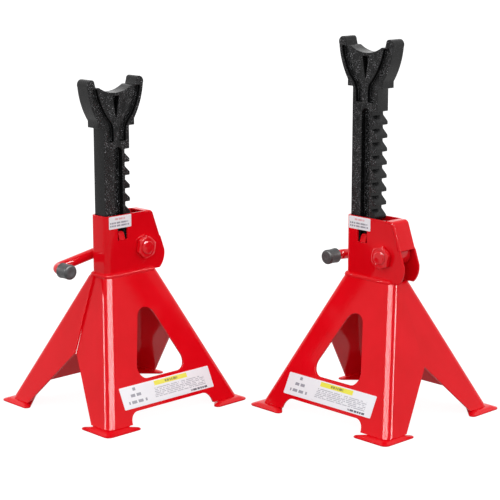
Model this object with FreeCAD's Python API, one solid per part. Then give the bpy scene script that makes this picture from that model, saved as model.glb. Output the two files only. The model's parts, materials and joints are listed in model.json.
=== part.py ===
"""A pair of ratchet axle stands for holding up a car, one set low and one set three notches higher.

Each stand is a four-legged base of two pressed sheet shells, a sheet column welded into its top, a
toothed cast post that slides up and down in the column, and a pawl on a cross shaft that a bent
handle turns. One stand is described in its own axes and then placed twice: its post stands on the
vertical axis, the teeth face +X, the labelled side is -Y ("near") and the handle side is +Y ("far").
Lengths are in millimetres and angles in degrees.
"""

import FreeCAD
import Part
import math
import os

from FreeCAD import Rotation, Vector

# ---- the pair ------------------------------------------------------------------------------------
RIGHT_FROM_LEFT = (207.7, -213.6)  # right post's axis from the left one's, along X and Y
LEFT_TURN = 0.0  # the left stand's teeth face +X
RIGHT_TURN = -90.0  # the right stand's teeth face -Y
LEFT_NOTCH = 6  # notches above the lowest position
RIGHT_NOTCH = 9

# ---- ratchet post --------------------------------------------------------------------------------
NOTCH_PITCH = 15.5
NOTCH_COUNT = 10
LOWEST_LUG_Z = 239.3  # underside of the lugs in the lowest position
POST_HALF_X = 19.0
POST_HALF_Y = 9.5
POST_TAIL = 221.0  # from the underside of the lugs to the end of the bar
FIRST_TOOTH = 27.0  # from the underside of the lugs to the first flat tooth face
TOOTH_DEPTH = 7.2
TOOTH_ROOT = 4.5  # straight part at the bottom of a notch
TOOTH_SLOPE = 7.0  # height of a notch's slanted face
TOOTH_CHAMFER = 0.7
LUG_HALF_X = 27.0
LUG_TOP = 7.5
SHELF_Z = 46.5
SHELF_OUT = 29.0  # outer edge of the shelf, where the horn starts
HORN_TOP = 56.0
CRADLE_LOW = 39.3
CRADLE_HALF = 24.0
SADDLE_RIM_DEPTH = 4.5  # depth of the pockets in the saddle's two faces
VEE_TOP = 35.5
VEE_LOW = 11.0
VEE_HALF = 4.8
VEE_DEPTH = 8.0
GROOVE_X = (-4.5, 8.0)  # long groove in both faces of the bar
GROOVE_TOP = -24.0
GROOVE_END = -184.0
GROOVE_DEPTH = 7.0
NECK_POCKET_END = -17.0

# ---- column --------------------------------------------------------------------------------------
COLUMN_SHEET = 2.5
COLUMN_HALF_Y = 14.1
COLUMN_BACK_X = -22.1
COLUMN_TOP_Z = 229.5
COLUMN_LOW_Z = 130.0  # lower end, inside the base
COLUMN_TOP_FRONT_X = 49.0
COLUMN_WIDEST = (67.0, 179.5)
COLUMN_BEND = 6.0  # outer radius of the two back corners
COLUMN_TUCK_X = 42.0  # front edge of the part that stands inside the base
BRIDGE_LOW_Z = 197.0  # lower edge of the front plate, over the pawl window
BRIDGE_LIP_X = 38.0  # end of the plate's turned-in top lip
BRIDGE_BEND = 6.0
BRIDGE_EDGE = 2.4  # radius of the folds where the front plate meets the cheeks
TAB_SLOT_X = (-4.3, 10.4)
TAB_SLOT_Z = (199.7, 215.0)
TAB_SLOT_ROUNDS = (1.3, 3.0)  # radius of the slot's lower and upper corners
TAB_X = (-1.3, 7.4)
TAB_TOP_Z = 209.5
TAB_ROUND = 3.2  # radius of the tab's two free corners
TAB_INSET = 4.1  # how far the tab's free end is pushed in
CHEEK_BELLY = (66.0, 168.5)  # a point on the rounded lower front of a cheek
CHEEK_END_X = 59.5  # where that curve meets the top of the base
SEAT_GAP = 0.2  # between the base's top and the cheek's edge that stands over it

# ---- base ----------------------------------------------------------------------------------------
BASE_SHEET = 2.5
BASE_TOP_Z = 158.0
BASE_LOW_Z = 4.0
BASE_BACK_X = (-84.8, -24.8)  # near shell's outer face at the back, at the bottom and at the top
BASE_FRONT_X = (114.8, 54.0)
BASE_HALF_Y = (91.5, 16.9)
BASE_BEND = 10.0
SEAM_TOP_Y = 4.5  # how far past the middle the outer shell's edge stops, at the top of the base
LAP_TOP_Y = 6.8  # how far past the middle the inner shell's flange reaches
NOTCH_APEX_Z = (72.0, 66.0)  # top of the notch between the legs, at the back and at the front
LEG_FLANGE = 33.0  # width of a leg at its foot, on the narrow sides
HOLE_TOP = (15.5, 106.5, 14.0)  # rounded triangle in the broad sides: X, Z, radius of each corner
HOLE_BACK = (-8.0, 58.5, 12.0)
HOLE_FRONT = (37.0, 58.5, 12.0)
ARCH_X = (-49.5, 74.0)
ARCH_Z = 16.5
ARCH_RADIUS = 12.0
FOOT_THICKNESS = 4.0
FOOT_EDGE = 56.5  # length of a foot plate's two outer edges, if its corners were sharp
FOOT_OVERHANG_X = (10.2, 6.5)  # how far the plates stand out, at the back and at the front
FOOT_OVERHANG_Y = 10.2
FOOT_OUTER_CORNER = 7.0
FOOT_POINTED_CORNER = 4.5
WELD_RADIUS = 4.0
WELD_END_GAP = 5.0  # from the column's back to where the side beads start
WELD_FRONT_X = 50.0  # where the side beads end

# ---- pawl, shaft and handle ----------------------------------------------------------------------
PIVOT = (35.5, 187.0)  # X and Z of the cross shaft
SHAFT_RADIUS = 8.0
RUNNING_GAP = 0.05  # radial clearance of a turning or sliding fit
SIDE_GAP = 0.3  # between the column's cheeks and what turns beside them
PAWL_HALF_Y = 9.0
PAWL_HUB = 13.0
PAWL_LOBE = (8.1, 4.95, 12.0)  # X and Z from the pivot, radius
PAWL_TIP_X = 15.2
PAWL_TIP_LOW = 205.4
PAWL_TIP_TOP = 208.4
RELEASE_ANGLE = 13.0  # from locked to just clear of the teeth
PAWL_STRUT_TOP = ((-13.5, 22.0), (4.0, 16.0))  # the strut's upper side, X and Z from the pivot
PAWL_STRUT_LOW = (-11.0, 9.4)
PIN_RADIUS = 2.5
PIN_LEAN = -35.0  # the pin's slope from vertical when the pawl is locked
NUT_FLATS = 24.0
NUT_TURN = 18.0  # how far the nut's first corner stands from level
NUT_HEIGHT = 6.2
NUT_CONE = (11.7, 24.0, 7.0)  # the chamfer's cone: radius at the outer face, further in, and how far in
STUD_OVER_NUT = 1.8
SPACER_RADIUS = 12.0
SPACER_END_Y = 20.5
HEAD_RADIUS = 9.6
HEAD_CHAMFER = 0.8
STUD_CHAMFER = 1.0
ROD_RADIUS = 6.0
ROD_Y = 27.0
ROD_DROP = 10.0  # the handle's slope below horizontal at rest
ROD_REACH = 101.7  # pivot to elbow
ROD_FRONT = 9.6  # from the pivot to the rod's front end, flush with the shaft's head
ROD_BEND = 8.0
ROD_END_Y = 0.1
GRIP_RADIUS = 8.8
GRIP_Y = (-2.8, 14.8)
GRIP_ROUND = 2.5

# ---- labels --------------------------------------------------------------------------------------
LABEL_THICKNESS = 0.3
FACE_LABEL_X = (-54.7, 81.8)
FACE_LABEL_Z = (20.3, 43.6)
COLUMN_LABEL_X = (-17.5, 15.8)
COLUMN_LABEL_Z = (214.2, 229.0)

FAR_OUT = 200.0  # longer than the stand in any direction, for cutting tools
OVERRUN = 3.0  # how far a cutting tool runs past what it cuts


# ---- outlines and prisms -------------------------------------------------------------------------
def in_xz(point, y=0.0):
    """A point of a side view, (X, Z), put into space at the given Y."""
    return Vector(point[0], y, point[1])


def outline(start, steps, y):
    """A closed side-view outline: each step is a straight to a point, or an arc (via, to)."""
    edges = []
    here = start
    for step in steps + [start]:
        if isinstance(step[0], tuple):
            via, there = step
            edges.append(Part.Arc(in_xz(here, y), in_xz(via, y), in_xz(there, y)).toShape())
        else:
            there = step
            edges.append(Part.makeLine(in_xz(here, y), in_xz(there, y)))
        here = there
    return Part.Face(Part.Wire(edges))


def side_prism(start, steps, y_low, y_high):
    """The outline pulled along Y from y_low to y_high."""
    return outline(start, steps, y_low).extrude(Vector(0, y_high - y_low, 0))


def box(x, y, z):
    """A box from its (low, high) ranges."""
    size = [high - low for low, high in (x, y, z)]
    return Part.makeBox(*size, Vector(x[0], y[0], z[0]))


def cross_cylinder(radius, centre, y_low, y_high):
    """A cylinder along Y about the side-view point."""
    return Part.makeCylinder(radius, y_high - y_low, in_xz(centre, y_low), Vector(0, 1, 0))


def hull_of_circles(circles, y_low, y_high):
    """A prism whose side view is a loop of circles (X, Z, radius), taken clockwise, joined by tangents."""
    sides = []
    for (x0, z0, r0), (x1, z1, r1) in zip(circles, circles[1:] + circles[:1]):
        along = math.atan2(z1 - z0, x1 - x0)
        lean = math.acos((r0 - r1) / math.hypot(x1 - x0, z1 - z0))
        out = along + lean
        ends = ((x0, z0, r0), (x1, z1, r1))
        sides.append([(x + r * math.cos(out), z + r * math.sin(out)) for x, z, r in ends])
    steps = []
    for number, (x, z, r) in enumerate(circles):
        before, after = sides[number - 1][1], sides[number][0]
        middle = [(a + b) / 2 for a, b in zip(before, after)]
        away = math.hypot(middle[0] - x, middle[1] - z)
        via = (x + (middle[0] - x) * r / away, z + (middle[1] - z) * r / away)
        steps += [(via, after), sides[number][1]]
    return side_prism(sides[-1][1], steps[:-1], y_low, y_high)


def turned(shape, angle):
    """The shape turned about the pivot; a positive angle lifts the handle."""
    copy = shape.copy()
    copy.rotate(in_xz(PIVOT), Vector(0, 1, 0), angle)
    return copy


# ---- base ----------------------------------------------------------------------------------------
def at_height(ends, z):
    """A dimension of the tapering base at height z, from its (bottom, top) values."""
    share = (z - BASE_LOW_Z) / (BASE_TOP_Z - BASE_LOW_Z)
    return ends[0] + (ends[1] - ends[0]) * share


def level_thickness(ends):
    """The sheet's thickness measured level, on a side that leans by the (bottom, top) values."""
    lean = (ends[0] - ends[1]) / (BASE_TOP_Z - BASE_LOW_Z)
    return BASE_SHEET * math.hypot(1, lean)


def taper(layers, z_low, z_high, bend):
    """The tapering block so many sheets inside the near shell's back, front and broad outer faces."""
    inset_back, inset_front, inset_side = [
        count * level_thickness(ends)
        for count, ends in zip(layers, (BASE_BACK_X, BASE_FRONT_X, BASE_HALF_Y))
    ]
    low_end, high_end = [
        (
            at_height(BASE_BACK_X, z) + inset_back,
            at_height(BASE_FRONT_X, z) - inset_front,
            at_height(BASE_HALF_Y, z) - inset_side,
        )
        for z in (z_low, z_high)
    ]
    back, front, side = low_end
    top_back, top_front, top_side = high_end
    # the wedge is made with its taper along Y and then stood up along Z
    block = Part.makeWedge(back, z_low, -side, -top_side, top_back, front, z_high, side, top_side, top_front)
    block.rotate(Vector(0, 0, 0), Vector(1, 0, 0), 90)
    slanted = [e for e in block.Edges if abs(e.Vertexes[0].Z - e.Vertexes[1].Z) > 1]
    return block.makeFillet(bend, slanted)


def seam_prism(side, front, edge_y):
    """What one shell covers at the back or the front: its side of the notch and of the seam over it."""
    floor_z = BASE_LOW_Z - OVERRUN
    apex_z = NOTCH_APEX_Z[front]
    slope = (BASE_HALF_Y[0] - LEG_FLANGE) / (apex_z - BASE_LOW_Z)
    points = [
        (side * FAR_OUT, floor_z),
        (side * slope * (apex_z - floor_z), floor_z),
        (0, apex_z),
        (edge_y, BASE_TOP_Z),
        (edge_y, BASE_TOP_Z + OVERRUN),
        (side * FAR_OUT, BASE_TOP_Z + OVERRUN),
    ]
    start = 0 if front else -FAR_OUT
    corners = [Vector(start, y, z) for y, z in points + points[:1]]
    return Part.Face(Part.makePolygon(corners)).extrude(Vector(FAR_OUT, 0, 0))


def broad_side_cuts(y_low, y_high):
    """The rounded triangle and the arch between the legs, as tools along Y."""
    hole = hull_of_circles([HOLE_TOP, HOLE_FRONT, HOLE_BACK], y_low, y_high)
    back, front = ARCH_X
    shoulder = ARCH_Z - ARCH_RADIUS
    turn = ARCH_RADIUS * (1 - math.sqrt(0.5))
    arch = side_prism(
        (back, -1),
        [
            (back, shoulder),
            ((back + turn, ARCH_Z - turn), (back + ARCH_RADIUS, ARCH_Z)),
            (front - ARCH_RADIUS, ARCH_Z),
            ((front - turn, ARCH_Z - turn), (front, shoulder)),
            (front, -1),
        ],
        y_low,
        y_high,
    )
    return [hole, arch]


def base_shell(side):
    """One pressed half of the base: -1 the near one, +1 the far one, outside it at the back only."""
    if side < 0:
        layers, back_edge, front_edge = (0, 0, 0), LAP_TOP_Y, -SEAM_TOP_Y
    else:
        layers, back_edge, front_edge = (-1, 1, 0), SEAM_TOP_Y, -LAP_TOP_Y
    outer = taper(layers, BASE_LOW_Z, BASE_TOP_Z, BASE_BEND)
    within = [count + 1 for count in layers]
    inner = taper(within, BASE_LOW_Z - OVERRUN, BASE_TOP_Z + OVERRUN, BASE_BEND - BASE_SHEET)
    seam = seam_prism(side, 0, back_edge).fuse(seam_prism(side, 1, front_edge))
    start = at_height(BASE_HALF_Y, BASE_TOP_Z)
    y_range = sorted((side * start, side * FAR_OUT))
    return outer.cut(inner).common(seam).cut(broad_side_cuts(*y_range)).removeSplitter()


def foot_reach():
    """How far the foot plates reach: X at the back, X at the front, and Y to either side."""
    back = BASE_BACK_X[0] - FOOT_OVERHANG_X[0]
    front = BASE_FRONT_X[0] + FOOT_OVERHANG_X[1]
    return back, front, BASE_HALF_Y[0] + FOOT_OVERHANG_Y


def foot_plate(front, side):
    """The three-cornered plate under one leg, standing out past the leg's two outer faces."""
    *reach_x, reach_y = foot_reach()
    corner = Vector(reach_x[front], side * reach_y, 0)
    inwards = -1 if front else 1
    ends = [corner, corner + Vector(inwards * FOOT_EDGE, 0, 0), corner + Vector(0, -side * FOOT_EDGE, 0)]
    plate = Part.Face(Part.makePolygon(ends + ends[:1])).extrude(Vector(0, 0, FOOT_THICKNESS))
    upright = [e for e in plate.Edges if abs(e.Vertexes[0].Z - e.Vertexes[1].Z) > 1]
    pointed = [e for e in upright if math.hypot(e.BoundBox.XMin - corner.x, e.BoundBox.YMin - corner.y) > 1]
    plate = plate.makeFillet(FOOT_POINTED_CORNER, pointed)
    upright = [e for e in plate.Edges if abs(e.Vertexes[0].Z - e.Vertexes[1].Z) > 1]
    outer = [e for e in upright if math.hypot(e.BoundBox.XMin - corner.x, e.BoundBox.YMin - corner.y) < 1]
    return plate.makeFillet(FOOT_OUTER_CORNER, outer)


# ---- column --------------------------------------------------------------------------------------
def front_edge_x(z):
    """X of the column's slanted front edge at height z."""
    share = (COLUMN_TOP_Z - z) / (COLUMN_TOP_Z - COLUMN_WIDEST[1])
    return COLUMN_TOP_FRONT_X + (COLUMN_WIDEST[0] - COLUMN_TOP_FRONT_X) * share


def front_bridge():
    """The plate over the pawl window, with its top turned in as a lip."""
    run = math.hypot(COLUMN_WIDEST[0] - COLUMN_TOP_FRONT_X, COLUMN_TOP_Z - COLUMN_WIDEST[1])
    level = (COLUMN_TOP_Z - COLUMN_WIDEST[1]) / run
    low_x = front_edge_x(BRIDGE_LOW_Z)
    plate = side_prism(
        (BRIDGE_LIP_X, COLUMN_TOP_Z),
        [
            (COLUMN_TOP_FRONT_X, COLUMN_TOP_Z),
            (low_x, BRIDGE_LOW_Z),
            (low_x - COLUMN_SHEET / level, BRIDGE_LOW_Z),
            (front_edge_x(COLUMN_TOP_Z - COLUMN_SHEET) - COLUMN_SHEET / level, COLUMN_TOP_Z - COLUMN_SHEET),
            (BRIDGE_LIP_X, COLUMN_TOP_Z - COLUMN_SHEET),
        ],
        -COLUMN_HALF_Y,
        COLUMN_HALF_Y,
    )

    def bend_edge(top_z):
        """The long edge of the bend whose height is top_z."""
        found = [e for e in plate.Edges if e.BoundBox.YLength > COLUMN_HALF_Y]
        in_height = [e for e in found if abs(e.BoundBox.ZMax - top_z) < 0.01]
        return [e for e in in_height if e.BoundBox.XMin > BRIDGE_LIP_X + 1]

    plate = plate.makeFillet(BRIDGE_BEND, bend_edge(COLUMN_TOP_Z))
    return plate.makeFillet(BRIDGE_BEND - COLUMN_SHEET, bend_edge(COLUMN_TOP_Z - COLUMN_SHEET))


def folded_bridge():
    """The front plate with its two folds into the cheeks rounded."""
    plate = front_bridge()
    tall = (COLUMN_TOP_Z - BRIDGE_LOW_Z) / 2
    slope = [e for e in plate.Edges if e.BoundBox.YLength < 0.01 and e.BoundBox.ZLength > tall]
    outer_x = max(e.BoundBox.XMax for e in slope)
    return plate.makeFillet(BRIDGE_EDGE, [e for e in slope if e.BoundBox.XMax > outer_x - 0.01])


def cheek_steps():
    """The column's side view from its lower back corner, round to its lower front one."""
    seat_z = BASE_TOP_Z + SEAT_GAP
    return [
        (COLUMN_BACK_X, COLUMN_TOP_Z),
        (COLUMN_TOP_FRONT_X, COLUMN_TOP_Z),
        COLUMN_WIDEST,
        (CHEEK_BELLY, (CHEEK_END_X, seat_z)),
        (COLUMN_TUCK_X, seat_z),
        (COLUMN_TUCK_X, COLUMN_LOW_Z),
    ]


def tab_and_slot(side):
    """The guide tab pushed in from one cheek, and the tool that cuts the slot round it."""
    y_out, y_in = side * (COLUMN_HALF_Y + 1), side * (COLUMN_HALF_Y - COLUMN_SHEET - 1)
    y_low, y_high = sorted((y_out, y_in))
    slot = box(TAB_SLOT_X, (y_low, y_high), TAB_SLOT_Z)
    for height, radius in zip(TAB_SLOT_Z, TAB_SLOT_ROUNDS):
        corners = [e for e in slot.Edges if e.BoundBox.YLength > 1 and abs(e.BoundBox.ZMin - height) < 0.01]
        slot = slot.makeFillet(radius, corners)
    outer, inner = side * COLUMN_HALF_Y, side * (COLUMN_HALF_Y - COLUMN_SHEET)
    shift = side * TAB_INSET
    root_z = TAB_SLOT_Z[0] - 1
    leaf = [(outer, root_z), (outer - shift, TAB_TOP_Z), (inner - shift, TAB_TOP_Z), (inner, root_z)]
    corners = [Vector(TAB_X[0], y, z) for y, z in leaf + leaf[:1]]
    tab = Part.Face(Part.makePolygon(corners)).extrude(Vector(TAB_X[1] - TAB_X[0], 0, 0))
    top = [e for e in tab.Edges if e.BoundBox.ZMin > TAB_TOP_Z - 0.01 and e.BoundBox.XLength < 0.01]
    return tab.makeFillet(TAB_ROUND, top), slot


def column():
    """The folded sheet column: a back and two cheeks, open at the front and at both ends."""
    start = (COLUMN_BACK_X, COLUMN_LOW_Z)
    block = side_prism(start, cheek_steps(), -COLUMN_HALF_Y, COLUMN_HALF_Y)
    back = [e for e in block.Edges if e.BoundBox.XMax < COLUMN_BACK_X + 0.01 and e.BoundBox.ZLength > 1]
    block = block.makeFillet(COLUMN_BEND, back)
    hollow = box(
        (COLUMN_BACK_X + COLUMN_SHEET, FAR_OUT),
        (COLUMN_SHEET - COLUMN_HALF_Y, COLUMN_HALF_Y - COLUMN_SHEET),
        (COLUMN_LOW_Z - 1, COLUMN_TOP_Z + 1),
    )
    corners = [e for e in hollow.Edges if e.BoundBox.XMax < 0 and e.BoundBox.ZLength > 1]
    hollow = hollow.makeFillet(COLUMN_BEND - COLUMN_SHEET, corners)
    shaft_hole = cross_cylinder(SHAFT_RADIUS + RUNNING_GAP, PIVOT, -FAR_OUT, FAR_OUT)
    near_tab, near_slot = tab_and_slot(-1)
    far_tab, far_slot = tab_and_slot(1)
    cut = block.cut([hollow, shaft_hole, front_bridge(), near_slot, far_slot])
    folded = max(cut.Solids, key=lambda solid: solid.Volume)  # without the corners outside the plate's bend
    return folded.fuse([near_tab, far_tab]).removeSplitter()


def weld_beads():
    """Quarter-round beads where the column stands on the base's two broad sides and its back."""
    beads = []
    back = COLUMN_BACK_X + WELD_END_GAP
    for side in (-1, 1):
        start = Vector(back, side * COLUMN_HALF_Y, BASE_TOP_Z)
        bead = Part.makeCylinder(WELD_RADIUS, WELD_FRONT_X - back, start, Vector(1, 0, 0))
        outside = sorted((side * COLUMN_HALF_Y, side * FAR_OUT))
        beads.append(bead.common(box((-FAR_OUT, FAR_OUT), outside, (BASE_TOP_Z, FAR_OUT))))
    flat = COLUMN_HALF_Y - COLUMN_BEND
    start = Vector(COLUMN_BACK_X, -flat, BASE_TOP_Z)
    bead = Part.makeCylinder(WELD_RADIUS, 2 * flat, start, Vector(0, 1, 0))
    beads.append(bead.common(box((-FAR_OUT, COLUMN_BACK_X), (-FAR_OUT, FAR_OUT), (BASE_TOP_Z, FAR_OUT))))
    return Part.makeCompound(beads)


# ---- ratchet post --------------------------------------------------------------------------------
def post_outline(lug_z):
    """The casting's side view, with its lugs' underside at height lug_z."""

    def up(points):
        """The same steps raised by lug_z."""
        return [up(p) if isinstance(p[0], tuple) else (p[0], p[1] + lug_z) for p in points]

    left_side = [
        (-POST_HALF_X, 0.0),
        (-LUG_HALF_X, 0.0),
        (-LUG_HALF_X, LUG_TOP),
        ((-36.2, 26.0), (-41.0, 47.0)),
        ((-40.4, 53.4), (-36.5, HORN_TOP)),
        (-34.0, HORN_TOP),
        ((-31.8, 54.9), (-30.6, 52.0)),
        (-SHELF_OUT, SHELF_Z),
    ]
    right_side = [
        (SHELF_OUT, SHELF_Z),
        (30.6, 52.0),
        ((31.8, 54.9), (34.0, HORN_TOP)),
        (36.5, HORN_TOP),
        ((40.4, 53.4), (41.0, 47.0)),
        ((36.2, 26.0), (LUG_HALF_X, LUG_TOP)),
        (LUG_HALF_X, 0.0),
        (POST_HALF_X, 0.0),
    ]
    root_x = POST_HALF_X - TOOTH_DEPTH
    teeth = []
    for number in range(NOTCH_COUNT):
        flat = -FIRST_TOOTH - number * NOTCH_PITCH
        slope_end = flat - TOOTH_ROOT - TOOTH_SLOPE
        teeth += [
            (POST_HALF_X, flat + TOOTH_CHAMFER),
            (POST_HALF_X - TOOTH_CHAMFER, flat),
            (root_x, flat),
            (root_x, flat - TOOTH_ROOT),
            (POST_HALF_X - TOOTH_CHAMFER, slope_end + TOOTH_CHAMFER),
            (POST_HALF_X, slope_end - TOOTH_CHAMFER / 2),
        ]
    tail = [(POST_HALF_X, -POST_TAIL)]
    return (-POST_HALF_X, -POST_TAIL + lug_z), up(left_side + right_side + teeth + tail)


def saddle_pockets(lug_z, y_low, y_high):
    """Tools for the pocket on each side of the saddle's fan."""

    def up(x, z):
        """A side-view point at height z over the lugs' underside."""
        return (x, z + lug_z)

    tools = []
    for hand in (-1, 1):
        tools.append(
            side_prism(
                up(hand * 4.0, NECK_POCKET_END),
                [
                    up(hand * 14.0, NECK_POCKET_END),
                    up(hand * 14.0, -6.0),
                    (up(hand * 17.0, 3.0), up(hand * 24.5, 12.0)),
                    (up(hand * 32.0, 27.0), up(hand * 36.5, 44.0)),
                    up(hand * 35.5, 46.0),
                    up(hand * 27.0, 45.0),
                    (up(hand * 20.0, 24.5), up(hand * 6.0, 4.0)),
                    (up(hand * 4.6, 0.0), up(hand * 4.0, -5.0)),
                ],
                y_low,
                y_high,
            )
        )
    return tools


def post_face_tools(lug_z, side):
    """Everything cut into one broad face of the casting."""
    face = side * POST_HALF_Y
    out = side * (POST_HALF_Y + 1)

    def reach(depth):
        """The (low, high) Y range of a cut of this depth from the face."""
        return sorted((out, face - side * depth))

    tools = saddle_pockets(lug_z, *reach(SADDLE_RIM_DEPTH))
    vee = side_prism(
        (-VEE_HALF, VEE_TOP + lug_z),
        [(VEE_HALF, VEE_TOP + lug_z), (0.6, VEE_LOW + lug_z), (-0.6, VEE_LOW + lug_z)],
        *reach(VEE_DEPTH),
    )
    low_x, high_x = GROOVE_X
    round_r = (high_x - low_x) / 2
    spring = GROOVE_TOP - round_r
    groove = side_prism(
        (low_x, GROOVE_END + lug_z),
        [
            (low_x, spring + lug_z),
            ((low_x + round_r, GROOVE_TOP + lug_z), (high_x, spring + lug_z)),
            (high_x, GROOVE_END + lug_z),
        ],
        *reach(GROOVE_DEPTH),
    )
    return tools + [vee, groove]


def ratchet_post(notch):
    """The toothed casting with its saddle, so many notches above the lowest position."""
    lug_z = LOWEST_LUG_Z + notch * NOTCH_PITCH
    start, steps = post_outline(lug_z)
    blank = side_prism(start, steps, -POST_HALF_Y, POST_HALF_Y)
    radius = (CRADLE_HALF**2 + (SHELF_Z - CRADLE_LOW) ** 2) / (2 * (SHELF_Z - CRADLE_LOW))
    cradle = cross_cylinder(radius, (0, lug_z + CRADLE_LOW + radius), -FAR_OUT, FAR_OUT)
    above = box((-CRADLE_HALF, CRADLE_HALF), (-FAR_OUT, FAR_OUT), (lug_z, lug_z + SHELF_Z + 1))
    return blank.cut([cradle.common(above)] + post_face_tools(lug_z, -1) + post_face_tools(lug_z, 1))


# ---- pawl, shaft and handle ----------------------------------------------------------------------
def from_pivot(x, z):
    """A side-view point from its distances to the pivot."""
    return (PIVOT[0] + x, PIVOT[1] + z)


def pawl_pin_tool(radius, half_length):
    """A pin through the pawl's hub and the shaft, square to both."""
    start = Vector(PIVOT[0], 0, PIVOT[1] - half_length)
    return turned(Part.makeCylinder(radius, 2 * half_length, start, Vector(0, 0, 1)), PIN_LEAN)


def pawl():
    """The cast pawl: a hub with a weighted lobe in front, and a slanted strut to the teeth."""
    low, high = -PAWL_HALF_Y, PAWL_HALF_Y
    lobe_x, lobe_z, lobe_r = PAWL_LOBE
    body = hull_of_circles([(*PIVOT, PAWL_HUB), (*from_pivot(lobe_x, lobe_z), lobe_r)], low, high)
    upper = [from_pivot(*point) for point in PAWL_STRUT_TOP]
    lower = [PIVOT, from_pivot(*PAWL_STRUT_LOW), (PAWL_TIP_X, PAWL_TIP_LOW)]
    strut = side_prism((PAWL_TIP_X, PAWL_TIP_TOP), upper + lower, low, high)
    bore = cross_cylinder(SHAFT_RADIUS + RUNNING_GAP, PIVOT, low - 1, high + 1)
    pin_hole = pawl_pin_tool(PIN_RADIUS + RUNNING_GAP, 2 * PAWL_HUB)
    whole = body.fuse(strut).removeSplitter()
    return turned(whole.cut([bore, pin_hole]), RELEASE_ANGLE)


def rod_axis(distance):
    """The side-view point so far back along the handle from the pivot."""
    slope = math.radians(ROD_DROP)
    return from_pivot(-distance * math.cos(slope), -distance * math.sin(slope))


def handle_rod(radius):
    """The round rod: through the shaft's head, back past the column, and round into the grip."""
    start = in_xz(rod_axis(-ROD_FRONT), ROD_Y)
    bend_in = in_xz(rod_axis(ROD_REACH - ROD_BEND), ROD_Y)
    middle_in = 1 - math.sqrt(0.5)
    bend_mid = in_xz(rod_axis(ROD_REACH - ROD_BEND * middle_in), ROD_Y - ROD_BEND * middle_in)
    bend_out = in_xz(rod_axis(ROD_REACH), ROD_Y - ROD_BEND)
    end = in_xz(rod_axis(ROD_REACH), ROD_END_Y)
    path = Part.Wire(
        [
            Part.makeLine(start, bend_in),
            Part.Arc(bend_in, bend_mid, bend_out).toShape(),
            Part.makeLine(bend_out, end),
        ]
    )
    section = Part.Wire([Part.makeCircle(radius, start, bend_in - start)])
    return path.makePipeShell([section], True, False)


def handle_grip():
    """The rubber cap on the end of the rod."""
    centre = rod_axis(ROD_REACH)
    cap = cross_cylinder(GRIP_RADIUS, centre, *GRIP_Y)
    end = [e for e in cap.Edges if e.BoundBox.YMax < GRIP_Y[0] + 0.01]
    return cap.makeFillet(GRIP_ROUND, end).cut(handle_rod(ROD_RADIUS))


def pivot_shaft():
    """The cross shaft: threaded at the near end, with a round head at the far end for the rod."""
    near_end = -(COLUMN_HALF_Y + SIDE_GAP + NUT_HEIGHT + STUD_OVER_NUT)
    shank = cross_cylinder(SHAFT_RADIUS, PIVOT, near_end, SPACER_END_Y)
    end = [e for e in shank.Edges if e.BoundBox.YMax < near_end + 0.01]
    shank = shank.makeChamfer(STUD_CHAMFER, end)
    head = cross_cylinder(HEAD_RADIUS, PIVOT, SPACER_END_Y, ROD_Y + ROD_RADIUS + 1)
    rims = [e for e in head.Edges if e.BoundBox.YLength < 0.01 and e.BoundBox.XLength > 1]
    head = head.makeChamfer(HEAD_CHAMFER, rims)
    pin_hole = turned(pawl_pin_tool(PIN_RADIUS + RUNNING_GAP, PAWL_HUB), RELEASE_ANGLE)
    return shank.fuse(head).cut([handle_rod(ROD_RADIUS), pin_hole]).removeSplitter()


def pivot_spacer():
    """The ring that holds the handle off the far cheek."""
    low, high = COLUMN_HALF_Y + SIDE_GAP, SPACER_END_Y
    ring = cross_cylinder(SPACER_RADIUS, PIVOT, low, high)
    return ring.cut(cross_cylinder(SHAFT_RADIUS + RUNNING_GAP, PIVOT, low - 1, high + 1))


def pivot_nut():
    """The hexagon nut on the near end of the shaft, chamfered on its outer face."""
    outer_y = -(COLUMN_HALF_Y + SIDE_GAP + NUT_HEIGHT)
    inner_y = outer_y + NUT_HEIGHT
    corner = NUT_FLATS / math.sqrt(3)
    turns = [math.radians(60 * k + NUT_TURN) for k in range(7)]
    ring = [in_xz(from_pivot(corner * math.cos(a), corner * math.sin(a)), outer_y) for a in turns]
    hexagon = Part.Face(Part.makePolygon(ring)).extrude(Vector(0, NUT_HEIGHT, 0))
    cone = Part.makeCone(*NUT_CONE, in_xz(PIVOT, outer_y), Vector(0, 1, 0))
    bore = cross_cylinder(SHAFT_RADIUS, PIVOT, outer_y - 1, inner_y + 1)
    return hexagon.common(cone).cut(bore)


def pawl_pin():
    """The pin that makes the pawl turn with the shaft."""
    return turned(pawl_pin_tool(PIN_RADIUS, PAWL_HUB - 1), RELEASE_ANGLE)


# ---- labels --------------------------------------------------------------------------------------
def face_label():
    """The sticker on the near shell's cross bar, lying on the leaning face."""
    corners = []
    for x, z in ((0, 0), (1, 0), (1, 1), (0, 1)):
        height = FACE_LABEL_Z[z]
        corners.append(Vector(FACE_LABEL_X[x], -at_height(BASE_HALF_Y, height), height))
    lean = (BASE_HALF_Y[0] - BASE_HALF_Y[1]) / (BASE_TOP_Z - BASE_LOW_Z)
    outward = Vector(0, -1, lean)
    outward.normalize()
    return Part.Face(Part.makePolygon(corners + corners[:1])).extrude(outward * LABEL_THICKNESS)


def column_label():
    """The sticker at the top of the near cheek."""
    return box(COLUMN_LABEL_X, (-COLUMN_HALF_Y - LABEL_THICKNESS, -COLUMN_HALF_Y), COLUMN_LABEL_Z)


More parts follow.
